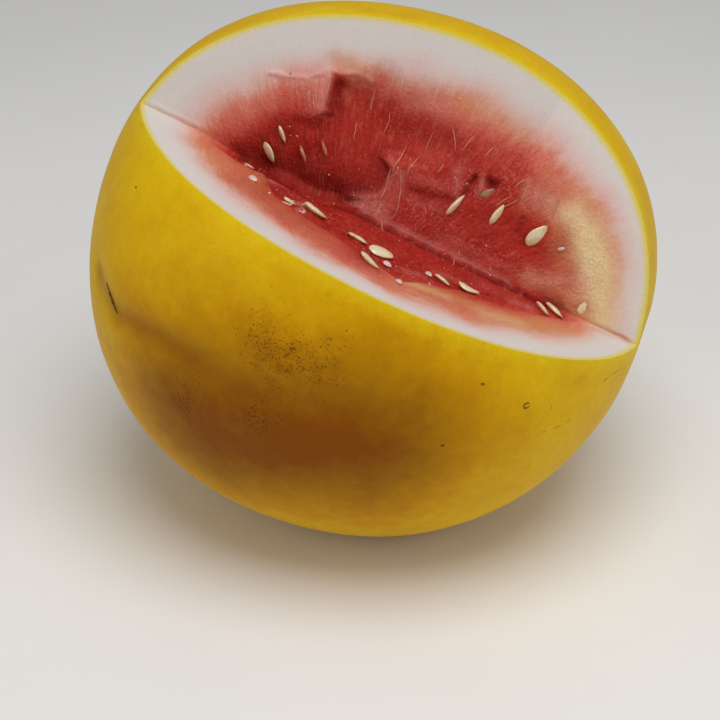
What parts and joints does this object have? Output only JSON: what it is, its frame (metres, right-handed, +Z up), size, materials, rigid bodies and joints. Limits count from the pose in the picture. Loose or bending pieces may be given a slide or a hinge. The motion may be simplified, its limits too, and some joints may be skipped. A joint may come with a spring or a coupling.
{
  "type": "yellow watermelon",
  "caption": "Round watermelon with yellow skin, a wedge cut out from end to end, white rind, red flesh and pale flat seeds on the cut faces; rests on a small flat spot.",
  "frame": {"origin": "on the ground, under the middle of the fruit's box", "axes": "+Z up, +X to the right along the fruit's length when seen from the notch's side, +Y away from that side"},
  "size_m": [0.2234, 0.2142, 0.2069],
  "materials": {
    "melon": "waxy yellow skin, wet red flesh and white rind where cut",
    "ripe_seed": "smooth, wet",
    "undeveloped_seed": "smooth, wet"
  },
  "bodies": {
    "root": {"fruit": "melon", "seed_upper_01": "ripe_seed", "seed_upper_02": "ripe_seed", "seed_upper_03": "ripe_seed", "seed_upper_04": "ripe_seed", "seed_upper_05": "ripe_seed", "seed_upper_06": "ripe_seed", "seed_upper_07": "ripe_seed", "seed_upper_08": "ripe_seed", "seed_upper_09": "ripe_seed", "seed_lower_01": "ripe_seed", "seed_lower_02": "ripe_seed", "seed_lower_03": "ripe_seed", "seed_lower_04": "ripe_seed", "seed_lower_05": "ripe_seed", "seed_lower_06": "ripe_seed", "seed_lower_07": "ripe_seed", "seed_lower_08": "ripe_seed", "seed_lower_09": "ripe_seed", "small_seed_upper_01": "undeveloped_seed", "small_seed_lower_01": "undeveloped_seed", "small_seed_lower_02": "undeveloped_seed", "small_seed_lower_03": "undeveloped_seed", "small_seed_lower_04": "undeveloped_seed"}
  },
  "joints": []
}
